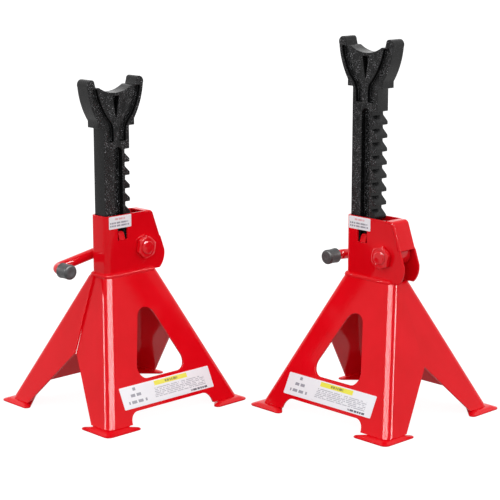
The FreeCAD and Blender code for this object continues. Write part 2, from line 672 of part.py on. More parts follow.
# ---- the two stands ------------------------------------------------------------------------------
def stand(notch):
    """Every piece of one stand, by name, in the stand's own axes."""
    pieces = {
        "base_shell_near": base_shell(-1),
        "base_shell_far": base_shell(1),
        "column": column(),
        "front_bridge": folded_bridge(),
        "column_weld": weld_beads(),
        "ratchet_post": ratchet_post(notch),
        "pawl": pawl(),
        "pawl_pin": pawl_pin(),
        "pivot_shaft": pivot_shaft(),
        "pivot_spacer": pivot_spacer(),
        "pivot_nut": pivot_nut(),
        "handle_rod": handle_rod(ROD_RADIUS),
        "handle_grip": handle_grip(),
        "face_label": face_label(),
        "column_label": column_label(),
    }
    for front, end in ((False, "back"), (True, "front")):
        for side, hand in ((-1, "near"), (1, "far")):
            pieces[f"foot_{end}_{hand}"] = foot_plate(front, side)
    return pieces


def footprint(turn, at):
    """The (low, high) ranges in X and Y of a stand's feet, turned and placed."""
    back, front, side = foot_reach()
    spin = Rotation(Vector(0, 0, 1), turn)
    corners = [spin.multVec(Vector(x, y, 0)) for x in (back, front) for y in (-side, side)]
    xs = [c.x + at[0] for c in corners]
    ys = [c.y + at[1] for c in corners]
    return (min(xs), max(xs)), (min(ys), max(ys))


def pair_places():
    """The post axis of each stand, with the middle of the pair's footprint at the origin."""
    left = footprint(LEFT_TURN, (0.0, 0.0))
    right = footprint(RIGHT_TURN, RIGHT_FROM_LEFT)
    middle = [(min(a[0], b[0]) + max(a[1], b[1])) / 2 for a, b in zip(left, right)]
    at_left = (-middle[0], -middle[1])
    at_right = (RIGHT_FROM_LEFT[0] - middle[0], RIGHT_FROM_LEFT[1] - middle[1])
    return at_left, at_right


def main():
    """Write one STEP file for every piece of both stands."""
    os.makedirs("parts", exist_ok=True)
    at_left, at_right = pair_places()
    for name, notch, turn, at in (
        ("left", LEFT_NOTCH, LEFT_TURN, at_left),
        ("right", RIGHT_NOTCH, RIGHT_TURN, at_right),
    ):
        for piece, shape in stand(notch).items():
            placed = shape.copy()
            placed.rotate(Vector(0, 0, 0), Vector(0, 0, 1), turn)
            placed.translate(Vector(at[0], at[1], 0))
            placed.exportStep(f"parts/{name}_{piece}.step")


main()
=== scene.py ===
"""The finished look of a pair of ratchet axle stands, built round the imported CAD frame.

Each stand has its own axes: the post stands on the vertical axis, the teeth face +X, the labelled
side is -Y ("near") and the handle side is +Y ("far"). A stand's sizes are in millimetres in those
axes, and StandPlace turns them into metres in the shared frame, where every mesh is baked.
"""

import json
import logging
import math
from dataclasses import dataclass, field
from enum import Enum
from typing import Callable, Sequence

import bmesh
import bpy
import numpy as np
from mathutils import Matrix, Vector


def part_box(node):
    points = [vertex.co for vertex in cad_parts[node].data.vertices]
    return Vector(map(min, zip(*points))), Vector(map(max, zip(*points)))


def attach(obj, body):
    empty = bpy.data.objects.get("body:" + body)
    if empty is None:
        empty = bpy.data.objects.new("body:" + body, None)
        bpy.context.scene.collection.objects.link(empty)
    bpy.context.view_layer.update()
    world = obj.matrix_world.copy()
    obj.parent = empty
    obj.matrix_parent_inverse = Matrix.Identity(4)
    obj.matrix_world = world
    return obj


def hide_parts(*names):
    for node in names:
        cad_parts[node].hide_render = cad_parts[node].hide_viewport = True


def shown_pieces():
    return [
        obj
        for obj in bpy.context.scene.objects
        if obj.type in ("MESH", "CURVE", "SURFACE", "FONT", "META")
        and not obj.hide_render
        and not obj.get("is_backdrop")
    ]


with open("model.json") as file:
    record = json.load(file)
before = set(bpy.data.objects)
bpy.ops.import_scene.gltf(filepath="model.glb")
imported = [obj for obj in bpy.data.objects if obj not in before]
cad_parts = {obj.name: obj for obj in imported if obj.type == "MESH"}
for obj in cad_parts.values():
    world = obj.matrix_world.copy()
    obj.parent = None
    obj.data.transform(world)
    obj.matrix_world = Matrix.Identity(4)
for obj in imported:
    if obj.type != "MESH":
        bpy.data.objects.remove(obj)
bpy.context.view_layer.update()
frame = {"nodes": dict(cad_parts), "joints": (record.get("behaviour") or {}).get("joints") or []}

MM = 0.001
log = logging.getLogger("axle_stands")

Points = np.ndarray
Place = Callable[[Points], Points]


class Hand(Enum):
    """The two sides of a stand, as the sign of Y in its own axes."""

    NEAR = -1
    FAR = 1


class End(Enum):
    """The two ends of a stand's base, as the sign of X in its own axes."""

    BACK = -1
    FRONT = 1


# ---- places --------------------------------------------------------------------------------------
@dataclass(frozen=True)
class StandPlace:
    """Where one stand is in the shared frame, read from its CAD nodes and its lever's hinge."""

    name: str
    axis_at: Points
    along: Points
    across: Points

    @classmethod
    def of(cls, name: str) -> "StandPlace":
        """Read a stand's place from the frame.

        Args:
            name: the stand's name, "left" or "right".

        Returns:
            The place, with the post's axis as its origin and the cross shaft along its Y.
        """
        low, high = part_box(f"{name}_ratchet_post")
        middle = (low + high) / 2
        hinge = next(j for j in frame["joints"] if j["name"] == f"{name}_lever_turn")
        across = np.array(hinge["axis"], float)
        along = np.cross(across, (0.0, 0.0, 1.0))
        return cls(name, np.array((middle.x, middle.y, 0.0)), along, across)

    def to_row(self, points: Points) -> Points:
        """Turn points from the stand's millimetres into metres in the shared frame."""
        turn = np.stack([self.along, self.across, np.array((0.0, 0.0, 1.0))])
        return self.axis_at + np.asarray(points, float) @ turn * MM

    def node(self, piece: str) -> str:
        """The CAD node's name of one of this stand's pieces."""
        return f"{self.name}_{piece}"



# ---- meshes --------------------------------------------------------------------------------------
def new_object(name: str, points: Points, faces: Sequence[Sequence[int]]) -> bpy.types.Object:
    """Put points and faces into a new smooth object, with doubles merged and faces turned outwards.

    Args:
        name: the piece's name.
        points: an array of n by 3, in metres in the shared frame.
        faces: vertex numbers of each face.

    Returns:
        The object, linked to the scene.
    """
    mesh = bpy.data.meshes.new(name)
    mesh.from_pydata(points.tolist(), [], [tuple(f) for f in faces])
    work = bmesh.new()
    work.from_mesh(mesh)
    bmesh.ops.remove_doubles(work, verts=work.verts, dist=1e-6)
    bmesh.ops.recalc_face_normals(work, faces=work.faces)
    work.to_mesh(mesh)
    work.free()
    shade(mesh)
    piece = bpy.data.objects.new(name, mesh)
    bpy.context.scene.collection.objects.link(piece)
    return piece


def shade(mesh: bpy.types.Mesh, angle: float = 32.0) -> None:
    """Shade a mesh smooth, with its edges over the angle kept sharp."""
    mesh.shade_smooth()
    mesh.set_sharp_from_angle(angle=math.radians(angle))


def grid_faces(rows: int, columns: int, start: int = 0) -> Points:
    """Faces of a grid of points that closes on itself along its columns.

    Args:
        rows: how many rings the grid has.
        columns: how many points each ring has.
        start: number of the grid's first point.

    Returns:
        Vertex numbers, four to a face, as an array.
    """
    ring = np.arange(columns)
    after = (ring + 1) % columns
    row = np.arange(rows - 1)[:, None] * columns + start
    quads = np.stack([row + ring, row + after, row + columns + after, row + columns + ring], axis=-1)
    return quads.reshape(-1, 4)


def tube(name: str, rings: Points, place: Place) -> bpy.types.Object:
    """A closed surface through rings of points, with its first and last ring capped by a fan.

    Args:
        name: the piece's name.
        rings: an array of rings by points by 3, in the stand's millimetres.
        place: turns those points into the shared frame.

    Returns:
        The new object.
    """
    rows, columns = rings.shape[:2]
    ends = np.stack([rings[0].mean(axis=0), rings[-1].mean(axis=0)])
    points = np.concatenate([rings.reshape(-1, 3), ends])
    quads = grid_faces(rows, columns).tolist()
    ring = np.arange(columns)
    after = (ring + 1) % columns
    first = np.stack([after, ring, np.full(columns, rows * columns)], axis=-1)
    base = (rows - 1) * columns
    last = np.stack([base + ring, base + after, np.full(columns, rows * columns + 1)], axis=-1)
    return new_object(name, place(points), quads + first.tolist() + last.tolist())


def lathe(
    name: str, profile: Points, centre: Points, axis: Points, place: Place, sides: int = 64
) -> bpy.types.Object:
    """A profile of (distance along the axis, radius) turned about the axis.

    The surface is centre + along * axis + radius * (cos t * u + sin t * v), where u and v are square
    to the axis and t runs round in equal steps.

    Args:
        name: the piece's name.
        profile: an array of n by 2.
        centre: the axis's zero, in the stand's millimetres.
        axis: the axis's direction, a unit vector.
        place: turns the stand's points into the shared frame.
        sides: how many points go round.

    Returns:
        The new object.
    """
    axis = np.asarray(axis, float)
    side = np.cross(axis, (0.0, 0.0, 1.0))
    side /= np.linalg.norm(side)
    other = np.cross(axis, side)
    turn = np.linspace(0, 2 * math.pi, sides, endpoint=False)
    round_it = np.cos(turn)[:, None] * side + np.sin(turn)[:, None] * other
    rings = centre + profile[:, 0, None, None] * axis + profile[:, 1, None, None] * round_it
    return tube(name, rings, place)


def arc(centre: Sequence[float], radius: float, start: float, end: float, steps: int) -> Points:
    """Points on an arc in a plane, from a start to an end angle in degrees."""
    turn = np.radians(np.linspace(start, end, steps))
    return np.stack([centre[0] + radius * np.cos(turn), centre[1] + radius * np.sin(turn)], axis=-1)


def evenly(path: Points, step: float) -> Points:
    """The same path with its points about a step apart along its length."""
    lengths = np.concatenate([[0.0], np.cumsum(np.linalg.norm(np.diff(path, axis=0), axis=1))])
    marks = np.linspace(0, lengths[-1], max(2, int(lengths[-1] / step) + 1))
    return np.stack([np.interp(marks, lengths, path[:, k]) for k in range(path.shape[1])], axis=-1)


def directions(path: Points) -> Points:
    """Unit tangents of a path, by central differences."""
    tangent = np.gradient(path, axis=0)
    return tangent / np.linalg.norm(tangent, axis=1, keepdims=True)


def merged_copy(node: str, name: str) -> bmesh.types.BMesh:
    """A CAD node's mesh as one joined surface, with its flat faces whole.

    Args:
        node: the CAD node.
        name: the name that the piece will have, for the log.

    Returns:
        The working mesh, which the caller frees.
    """
    work = bmesh.new()
    work.from_mesh(frame["nodes"][node].data)
    bmesh.ops.remove_doubles(work, verts=work.verts, dist=2e-6)
    flat = math.radians(0.5)
    bmesh.ops.dissolve_limit(work, angle_limit=flat, verts=work.verts, edges=work.edges)
    log.debug("%s: %d faces after merging", name, len(work.faces))
    return work


def softened(node: str, name: str, width: float, segments: int = 2, clamp: bool = False) -> bpy.types.Object:
    """A CAD piece again, with its sharp edges rounded over.

    Args:
        node: the CAD node that is copied.
        name: the new piece's name.
        width: width of the rounding, in millimetres.
        segments: how many faces the rounding has.
        clamp: whether the rounding narrows until none of its faces cross.

    Returns:
        The new object, with a live Bevel.
    """
    work = merged_copy(node, name)
    mesh = bpy.data.meshes.new(name)
    work.to_mesh(mesh)
    work.free()
    shade(mesh)
    piece = bpy.data.objects.new(name, mesh)
    bpy.context.scene.collection.objects.link(piece)
    round_over(piece, width, segments, clamp)
    return piece


def round_over(piece: bpy.types.Object, width: float, segments: int, clamp: bool = False) -> None:
    """Give a piece's sharp edges a live Bevel of this width in millimetres."""
    bevel = piece.modifiers.new("rounded_edges", "BEVEL")
    bevel.width = width * MM
    bevel.segments = segments
    bevel.limit_method = "ANGLE"
    bevel.angle_limit = math.radians(32)
    bevel.use_clamp_overlap = clamp
    bevel.harden_normals = True
    bevel.miter_outer = "MITER_ARC"


# ---- finishes ------------------------------------------------------------------------------------
class Nodes:
    """A material's node tree, with short ways to add to it."""

    def __init__(self, name: str) -> None:
        """Start a material with one Principled shader."""
        self.material = bpy.data.materials.new(name)
        self.material.use_nodes = True
        self.tree = self.material.node_tree
        self.shader = self.tree.nodes["Principled BSDF"]

    def add(self, kind: str, **values: object) -> bpy.types.Node:
        """Add a node and set its properties."""
        node = self.tree.nodes.new(kind)
        for key, value in values.items():
            setattr(node, key, value)
        return node

    def feed(self, target: bpy.types.NodeSocket, value: object) -> None:
        """Link a socket to the target, or set the target to a plain value."""
        if isinstance(value, bpy.types.NodeSocket):
            self.tree.links.new(value, target)
        else:
            target.default_value = value

    def maths(self, operation: str, first: object, second: object = 0.0) -> bpy.types.NodeSocket:
        """The result of one Math node."""
        node = self.add("ShaderNodeMath", operation=operation)
        self.feed(node.inputs[0], first)
        self.feed(node.inputs[1], second)
        return node.outputs[0]

    def place(self) -> bpy.types.NodeSocket:
        """The point being shaded, in the object's own coordinates."""
        return self.add("ShaderNodeTexCoord").outputs["Object"]

    def noise(self, grain: float, detail: float = 2.0, place: object = None) -> bpy.types.NodeSocket:
        """Noise whose features are about a grain across, in millimetres."""
        node = self.add("ShaderNodeTexNoise")
        node.inputs["Scale"].default_value = 1.0 / (grain * MM)
        node.inputs["Detail"].default_value = detail
        self.feed(node.inputs["Vector"], place if place is not None else self.place())
        return node.outputs["Fac"]

    def cells(self, grain: float) -> bpy.types.NodeSocket:
        """Distance to the nearest of many scattered points, a grain apart in millimetres."""
        node = self.add("ShaderNodeTexVoronoi", feature="SMOOTH_F1")
        node.inputs["Scale"].default_value = 1.0 / (grain * MM)
        self.feed(node.inputs["Vector"], self.place())
        return node.outputs["Distance"]

    def spread(
        self, value: object, low: float, high: float, to_low: float, to_high: float
    ) -> bpy.types.NodeSocket:
        """The value's range stretched to another range, without overshoot."""
        node = self.add("ShaderNodeMapRange")
        for key, number in (("From Min", low), ("From Max", high), ("To Min", to_low), ("To Max", to_high)):
            node.inputs[key].default_value = number
        self.feed(node.inputs["Value"], value)
        return node.outputs["Result"]

    def blend(self, share: object, first: object, second: object) -> bpy.types.NodeSocket:
        """A colour between two colours."""
        node = self.add("ShaderNodeMix", data_type="RGBA")
        self.feed(node.inputs[0], share)
        for socket, colour in ((node.inputs[6], first), (node.inputs[7], second)):
            self.feed(socket, (*colour, 1.0) if isinstance(colour, tuple) else colour)
        return node.outputs[2]

    def bump(
        self, height: object, depth: float, strength: float, under: object = None
    ) -> bpy.types.NodeSocket:
        """A normal from a height between 0 and 1, where 1 stands for a depth in millimetres."""
        node = self.add("ShaderNodeBump")
        node.inputs["Strength"].default_value = strength
        node.inputs["Distance"].default_value = depth * MM
        self.feed(node.inputs["Height"], height)
        if under is not None:
            self.feed(node.inputs["Normal"], under)
        return node.outputs["Normal"]

    def set(self, **values: object) -> None:
        """Set or link the shader's sockets; an underscore in a name stands for a space."""
        for key, value in values.items():
            self.feed(self.shader.inputs[key.replace("_", " ")], value)


@dataclass(frozen=True)
class PowderCoat:
    """Glossy baked paint with a fine orange peel and faint cloudiness."""

    name: str = "red_powder_coat"
    colour: tuple[float, float, float] = (0.78, 0.003, 0.010)
    deep_colour: tuple[float, float, float] = (0.72, 0.002, 0.007)
    peel: float = 2.2
    peel_depth: float = 0.012
    cloud: float = 38.0
    roughness: tuple[float, float] = (0.08, 0.12)
    specular: float = 0.11

    def material(self) -> bpy.types.Material:
        """Build the paint's material."""
        nodes = Nodes(self.name)
        cloud = nodes.spread(nodes.noise(self.cloud, 3.0), 0.3, 0.7, 0.0, 1.0)
        fine = nodes.noise(self.peel, 1.0)
        broad = nodes.noise(self.peel * 5, 1.0)
        height = nodes.maths("ADD", fine, nodes.maths("MULTIPLY", broad, 1.5))
        nodes.set(
            Base_Color=nodes.blend(cloud, self.colour, self.deep_colour),
            Roughness=nodes.spread(nodes.noise(9.0), 0.3, 0.7, *self.roughness),
            Specular_IOR_Level=self.specular,
            Normal=nodes.bump(height, self.peel_depth, 0.6),
        )
        return nodes.material


@dataclass(frozen=True)
class HammeredBlack:
    """Black paint over a sand casting: beaded on the broad faces and smoother on the edges, with pale flecks
    on the broad faces that are painted glints.
    """

    name: str = "black_hammered_paint"
    colour: tuple[float, float, float] = (0.002, 0.002, 0.0022)
    worn_colour: tuple[float, float, float] = (0.007, 0.007, 0.0075)
    # pale grey of the painted glints: flecks in the base colour that stand in for highlights on the beads
    fleck_colour: tuple[float, float, float] = (0.34, 0.34, 0.36)
    bead: float = 1.9
    bead_depth: float = 0.6
    # size of the painted glint flecks, in millimetres
    fleck: float = 1.15
    sand: float = 0.9
    sand_depth: float = 0.06
    roughness: tuple[float, float] = (0.22, 0.38)
    specular: float = 0.20
    # the face attribute that sets both the beads and the painted glints
    grain_name: str = "cast_grain"

    def material(self) -> bpy.types.Material:
        """Build the casting's material, which reads how rough each face is from its own attribute; the same
        attribute sets where its painted glints go.
        """
        nodes = Nodes(self.name)
        # per-face share of beads and of painted glints
        grain = nodes.add("ShaderNodeAttribute", attribute_name=self.grain_name).outputs["Fac"]
        patchy = nodes.spread(nodes.noise(9.0, 3.0), 0.40, 0.60, 0.1, 1.0)
        beads = nodes.spread(nodes.cells(self.bead), 0.1, 0.6, 1.0, 0.0)
        height = nodes.maths("MULTIPLY", nodes.maths("MULTIPLY", beads, patchy), grain)
        sand = nodes.bump(nodes.noise(self.sand, 3.0), self.sand_depth, 0.6)
        # painted glints: pale flecks in the base colour on the broad faces stand in for highlights on the
        # beads
        painted_glints = nodes.spread(nodes.noise(self.fleck, 1.0), 0.62, 0.69, 0.0, 1.0)
        painted_glints = nodes.maths("MULTIPLY", nodes.maths("MULTIPLY", painted_glints, patchy), grain)
        paint = nodes.blend(nodes.noise(6.0, 4.0), self.colour, self.worn_colour)
        nodes.set(
            Base_Color=nodes.blend(painted_glints, paint, self.fleck_colour),
            Roughness=nodes.spread(nodes.noise(4.0, 3.0), 0.35, 0.65, *self.roughness),
            Specular_IOR_Level=self.specular,
            Normal=nodes.bump(height, self.bead_depth, 0.9, sand),
        )
        return nodes.material


@dataclass(frozen=True)
class MouldedRubber:
    """Matt black rubber with a faint bloom."""

    name: str = "black_rubber"
    colour: tuple[float, float, float] = (0.018, 0.018, 0.020)
    bloom_colour: tuple[float, float, float] = (0.042, 0.042, 0.045)
    grain: float = 0.7
    depth: float = 0.05

    def material(self) -> bpy.types.Material:
        """Build the rubber's material."""
        nodes = Nodes(self.name)
        bloom = nodes.spread(nodes.noise(7.0, 4.0), 0.35, 0.7, 0.0, 1.0)
        nodes.set(
            Base_Color=nodes.blend(bloom, self.colour, self.bloom_colour),
            Roughness=nodes.spread(nodes.noise(3.0), 0.3, 0.7, 0.42, 0.6),
            Specular_IOR_Level=0.45,
            Normal=nodes.bump(nodes.noise(self.grain, 2.0), self.depth, 0.5),
        )
        return nodes.material


Span = tuple[float, float]


@dataclass(frozen=True)
class PrintMark:
    """One printed patch of a sticker, in shares of its width and height from its lower back corner.

    A patch with a word length is broken into bars of about that length, in so many lines; one with
    none is solid.
    """

    across: Span
    up: Span
    colour: tuple[float, float, float]
    lines: int = 1
    word: float = 0.0


@dataclass(frozen=True)
class PrintedVinyl:
    """A white sticker with printed marks and a clear film over them. Its marks are plain bars."""

    name: str
    marks: tuple[PrintMark, ...]
    colour: tuple[float, float, float] = (0.86, 0.86, 0.90)

    def material(self) -> bpy.types.Material:
        """Build the sticker's material, printed on the piece's own UV map."""
        nodes = Nodes(self.name)
        uv = nodes.add("ShaderNodeUVMap", uv_map=UV_NAME).outputs["UV"]
        split = nodes.add("ShaderNodeSeparateXYZ")
        nodes.feed(split.inputs[0], uv)
        across, up = split.outputs[0], split.outputs[1]
        paper = nodes.spread(nodes.noise(25.0), 0.3, 0.7, 0.0, 0.25)
        colour = nodes.blend(paper, self.colour, tuple(0.93 * c for c in self.colour))
        for mark in self.marks:
            inside = self.mask(nodes, mark, across, up)
            colour = nodes.blend(inside, colour, mark.colour)
        nodes.set(
            Base_Color=colour,
            Roughness=nodes.spread(nodes.noise(5.0), 0.3, 0.7, 0.28, 0.4),
            Specular_IOR_Level=0.3,
            Normal=nodes.bump(nodes.noise(18.0, 1.0), 0.05, 0.3),
        )
        return nodes.material

    @staticmethod
    def mask(nodes: Nodes, mark: PrintMark, across: object, up: object) -> bpy.types.NodeSocket:
        """One inside a printed mark and nought outside it.

        Args:
            nodes: the material being built.
            mark: the mark.
            across: share of the sticker's width at the shaded point.
            up: share of its height.

        Returns:
            The mask's socket.
        """
        inside = nodes.maths("GREATER_THAN", across, mark.across[0])
        for test, value, edge in (
            ("LESS_THAN", across, mark.across[1]),
            ("GREATER_THAN", up, mark.up[0]),
            ("LESS_THAN", up, mark.up[1]),
        ):
            inside = nodes.maths("MULTIPLY", inside, nodes.maths(test, value, edge))
        if not mark.word:
            return inside
        pitch = (mark.up[1] - mark.up[0]) / mark.lines
        step = nodes.maths("DIVIDE", nodes.maths("SUBTRACT", up, mark.up[0]), pitch)
        ink = nodes.maths("LESS_THAN", nodes.maths("FRACT", step), 0.55) if mark.lines > 1 else 1.0
        joined = nodes.add("ShaderNodeCombineXYZ")
        nodes.feed(joined.inputs[0], nodes.maths("DIVIDE", across, mark.word))
        nodes.feed(joined.inputs[1], nodes.maths("MULTIPLY", nodes.maths("FLOOR", step), 7.3))
        broken = nodes.add("ShaderNodeTexNoise")
        broken.inputs["Scale"].default_value = 1.0
        broken.inputs["Detail"].default_value = 0.0
        nodes.feed(broken.inputs["Vector"], joined.outputs[0])
        words = nodes.maths("GREATER_THAN", broken.outputs["Fac"], 0.42)
        return nodes.maths("MULTIPLY", inside, nodes.maths("MULTIPLY", ink, words))


UV_NAME = "sticker"
GREY_INK = (0.33, 0.33, 0.38)
PALE_INK = (0.48, 0.48, 0.53)
DARK_INK = (0.10, 0.10, 0.13)
PINK_INK = (0.78, 0.42, 0.46)
YELLOW_INK = (0.86, 0.80, 0.05)
OCHRE_INK = (0.30, 0.27, 0.04)

FACE_MARKS = (
    PrintMark((0.135, 0.165), (0.76, 0.90), GREY_INK),
    PrintMark((0.10, 0.21), (0.49, 0.62), GREY_INK, word=0.035),
    PrintMark((0.06, 0.26), (0.19, 0.32), GREY_INK, word=0.035),
    PrintMark((0.375, 0.745), (0.74, 0.95), YELLOW_INK),
    PrintMark((0.495, 0.64), (0.79, 0.90), OCHRE_INK, word=0.010),
    PrintMark((0.35, 0.92), (0.22, 0.68), PALE_INK, 6, 0.02),
    PrintMark((0.74, 0.93), (0.06, 0.15), DARK_INK, word=0.012),
)
COLUMN_MARKS = (
    PrintMark((0.24, 0.72), (0.70, 0.84), PINK_INK, word=0.04),
    PrintMark((0.05, 0.86), (0.40, 0.54), GREY_INK, word=0.05),
    PrintMark((0.05, 0.90), (0.17, 0.31), GREY_INK, word=0.05),
)


# ---- pieces --------------------------------------------------------------------------------------
def dress(piece: bpy.types.Object, finish: bpy.types.Material, body: str) -> bpy.types.Object:
    """Give a piece its finish, let it ride on its body, and log it.

    Args:
        piece: the finished piece.
        finish: its material.
        body: the CAD body that it moves with.

    Returns:
        The same piece.
    """
    piece.data.materials.clear()
    piece.data.materials.append(finish)
    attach(piece, body)
    log.info("%s: %d faces, rides on %s", piece.name, len(piece.data.polygons), body)
    return piece


@dataclass
class WeldBead:
    """A weld bead along a path, rippled like a row of overlapping coins."""

    radius: float
    ripple: float = 2.6
    depth: float = 0.11
    sides: int = 20
    step: float = 0.45

    def build(self, name: str, paths: Sequence[Points], place: Place) -> bpy.types.Object:
        """Lay a bead along each path and join them into one piece.

        At length s and turn t round the bead, its radius is r * (1 - d + d * sqrt(1 - w * w)), where
        w runs from -1 to 1 over each ripple of s + 0.5 r cos t, and it tapers to nothing over its
        last radius at both ends.

        Args:
            name: the piece's name.
            paths: level paths in the stand's millimetres.
            place: turns the stand's points into the shared frame.

        Returns:
            The new object.
        """
        points, faces, start = [], [], 0
        for path in paths:
            rings = self.rings(evenly(path, self.step))
            rows = len(rings)
            points.append(rings.reshape(-1, 3))
            faces += grid_faces(rows, self.sides, start).tolist()
            for first in (start, start + (rows - 1) * self.sides):
                faces.append(tuple(range(first, first + self.sides)))
            start += rows * self.sides
        return new_object(name, place(np.concatenate(points)), faces)

    def rings(self, path: Points) -> Points:
        """The rings of points round one path."""
        tangent = directions(path)
        side = np.cross(tangent, (0.0, 0.0, 1.0))
        length = np.arange(len(path)) * self.step
        turn = np.linspace(0, 2 * math.pi, self.sides, endpoint=False)
        wave = (length[:, None] + 0.5 * self.radius * np.cos(turn)) / self.ripple % 1 * 2 - 1
        radius = self.radius * (1 - self.depth + self.depth * np.sqrt(np.clip(1 - wave**2, 0, 1)))
        to_end = np.minimum(length, length[-1] - length)[:, None] / self.radius
        radius = radius * np.sqrt(np.clip(1 - np.clip(1 - to_end, 0, 0.98) ** 2, 0, 1))
        up = np.array((0.0, 0.0, 1.0))
        outward = np.cos(turn)[None, :, None] * side[:, None, :] + np.sin(turn)[None, :, None] * up
        return path[:, None, :] + radius[..., None] * outward


@dataclass
class PressedBase:
    """The two pressed shells with their feet and the beads that hold the legs to them."""

    place: StandPlace
    paint: bpy.types.Material
    edge: float = 0.55
    foot_reach_x: dict = field(default_factory=lambda: {End.BACK: 95.0, End.FRONT: 121.3})
    foot_reach_y: float = 101.7
    foot_edge: float = 56.5
    foot_outer_corner: float = 7.0
    foot_pointed_corner: float = 4.5
    foot_height: float = 4.0
    foot_lip: float = 1.9
    near_half_x: dict = field(default_factory=lambda: {End.BACK: 82.1, End.FRONT: 112.1})
    far_half_x: dict = field(default_factory=lambda: {End.BACK: 84.8, End.FRONT: 109.4})
    half_y: float = 88.7
    inner_bend: float = 7.5
    flange: float = 29.0
    bead: float = 2.4

    def build(self) -> None:
        """Make and dress every piece of the base."""
        body = self.place.node("frame")
        for shell in ("base_shell_near", "base_shell_far"):
            node = self.place.node(shell)
            piece = softened(node, node + "_pressed", self.edge)
            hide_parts(node)
            dress(piece, self.paint, body)
        for end in End:
            for hand in Hand:
                node = self.place.node(f"foot_{end.name.lower()}_{hand.name.lower()}")
                piece = self.foot(node, end, hand)
                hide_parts(node)
                dress(piece, self.paint, body)
        dress(self.leg_beads(), self.paint, body)

    def foot(self, node: str, end: End, hand: Hand) -> bpy.types.Object:
        """A three-cornered foot plate whose rim is drawn down to a thin edge.

        Its rings are the plate's outline drawn in towards the point that is equally far from its
        three edges, at the heights of its profile, from under its middle round the rim to its top.

        Args:
            node: the CAD node that the plate stands for.
            end: the end of the base that it is at.
            hand: the side of the base that it is on.

        Returns:
            The new object.
        """
        outline = self.foot_outline()
        middle = self.foot_edge * (1 - math.sqrt(0.5))
        shares = np.array((0.4, 0.95, 0.985, 1.0, 1.0, 0.985, 0.95, 0.91, 0.82, 0.73, 0.64, 0.56, 0.3))
        lip, top = self.foot_lip, self.foot_height
        rim = (0, 0, 0.15, 0.5, lip - 0.5, lip - 0.12, lip + 0.1, lip + 0.3)
        heights = np.array((*rim, 2.75, 3.35, 3.8, top, top))
        inwards = middle + shares[:, None, None] * (outline[None] - middle)
        x = end.value * (self.foot_reach_x[end] - inwards[..., 0])
        y = hand.value * (self.foot_reach_y - inwards[..., 1])
        z = np.broadcast_to(heights[:, None], x.shape)
        return tube(node + "_plate", np.stack([x, y, z], axis=-1), self.place.to_row)

    def foot_outline(self) -> Points:
        """The plate's outline, as distances inwards from its square corner: three rounded corners."""
        outer, pointed, edge = self.foot_outer_corner, self.foot_pointed_corner, self.foot_edge
        far = edge - pointed * (1 + math.sqrt(2))
        return np.concatenate(
            [
                arc((outer, outer), outer, 180, 270, 9),
                arc((far, pointed), pointed, 270, 405, 13),
                arc((pointed, far), pointed, 45, 180, 13),
            ]
        )

    def leg_beads(self) -> bpy.types.Object:
        """The bead inside each leg, from one flange's edge round the bend to the other's."""
        paths = []
        for end in End:
            for hand in Hand:
                reach_x = (self.near_half_x if hand is Hand.NEAR else self.far_half_x)[end]
                reach_y = self.half_y
                radius = self.inner_bend
                bend = arc((reach_x - radius, reach_y - radius), radius, 0, 90, 12)
                corner = np.concatenate(
                    [[(reach_x, reach_y - self.flange)], bend, [(reach_x - self.flange, reach_y)]]
                )
                level = np.full((len(corner), 1), self.foot_height)
                signs = np.array((end.value, hand.value))
                paths.append(np.concatenate([corner * signs, level], axis=1))
        return WeldBead(self.bead, ripple=2.2).build(self.place.node("leg_welds"), paths, self.place.to_row)


@dataclass
class FoldedColumn:
    """The sheet column with its front plate and the bead round its foot."""

    place: StandPlace
    paint: bpy.types.Material
    edge: float = 0.5
    half_y: float = 14.1
    back_x: float = -22.1
    front_x: float = 50.0
    bend: float = 6.0
    seat_z: float = 158.0
    bead: float = 3.7

    def build(self) -> None:
        """Make and dress every piece of the column."""
        body = self.place.node("frame")
        for name, suffix in (("column", "_folded"), ("front_bridge", "_folded")):
            node = self.place.node(name)
            piece = softened(node, node + suffix, self.edge)
            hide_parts(node)
            dress(piece, self.paint, body)
        bead = self.foot_bead()
        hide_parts(self.place.node("column_weld"))
        dress(bead, self.paint, body)

    def foot_bead(self) -> bpy.types.Object:
        """One bead along the near cheek, round the back and along the far cheek."""
        centre_x = self.back_x + self.bend
        centre_y = self.half_y - self.bend
        path = np.concatenate(
            [
                [(self.front_x, -self.half_y)],
                arc((centre_x, -centre_y), self.bend, 270, 180, 12),
                arc((centre_x, centre_y), self.bend, 180, 90, 12),
                [(self.front_x, self.half_y)],
            ]
        )
        level = np.full((len(path), 1), self.seat_z)
        path = np.concatenate([path, level], axis=1)
        return WeldBead(self.bead).build(self.place.node("column_weld_bead"), [path], self.place.to_row)


@dataclass
class RatchetPost:
    """The toothed casting with its saddle."""

    place: StandPlace
    paint: bpy.types.Material
    edge: float = 0.6
    # the face attribute says how beaded each face is and how many painted glints it gets
    grain_name: str = HammeredBlack.grain_name
    broad_grain: float = 1.0
    edge_grain: float = 0.12

    def build(self) -> None:
        """Make and dress the casting."""
        node = self.place.node("ratchet_post")
        piece = softened(node, node + "_casting", self.edge, segments=3)
        self.mark_grain(piece.data)
        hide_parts(node)
        dress(piece, self.paint, self.place.node("post"))

    def mark_grain(self, mesh: bpy.types.Mesh) -> None:
        """Store on each face how beaded its paint is and how much painted glint it gets: fully where it
        looks to the near or far side.
        """
        normals = np.zeros(len(mesh.polygons) * 3)
        mesh.polygons.foreach_get("normal", normals)
        broad = np.abs(normals.reshape(-1, 3) @ self.place.across) > 0.9
        # share of beads and of painted glints on each face
        grain = np.where(broad, self.broad_grain, self.edge_grain).astype(np.float32)
        mesh.attributes.new(self.grain_name, "FLOAT", "FACE").data.foreach_set("value", grain)


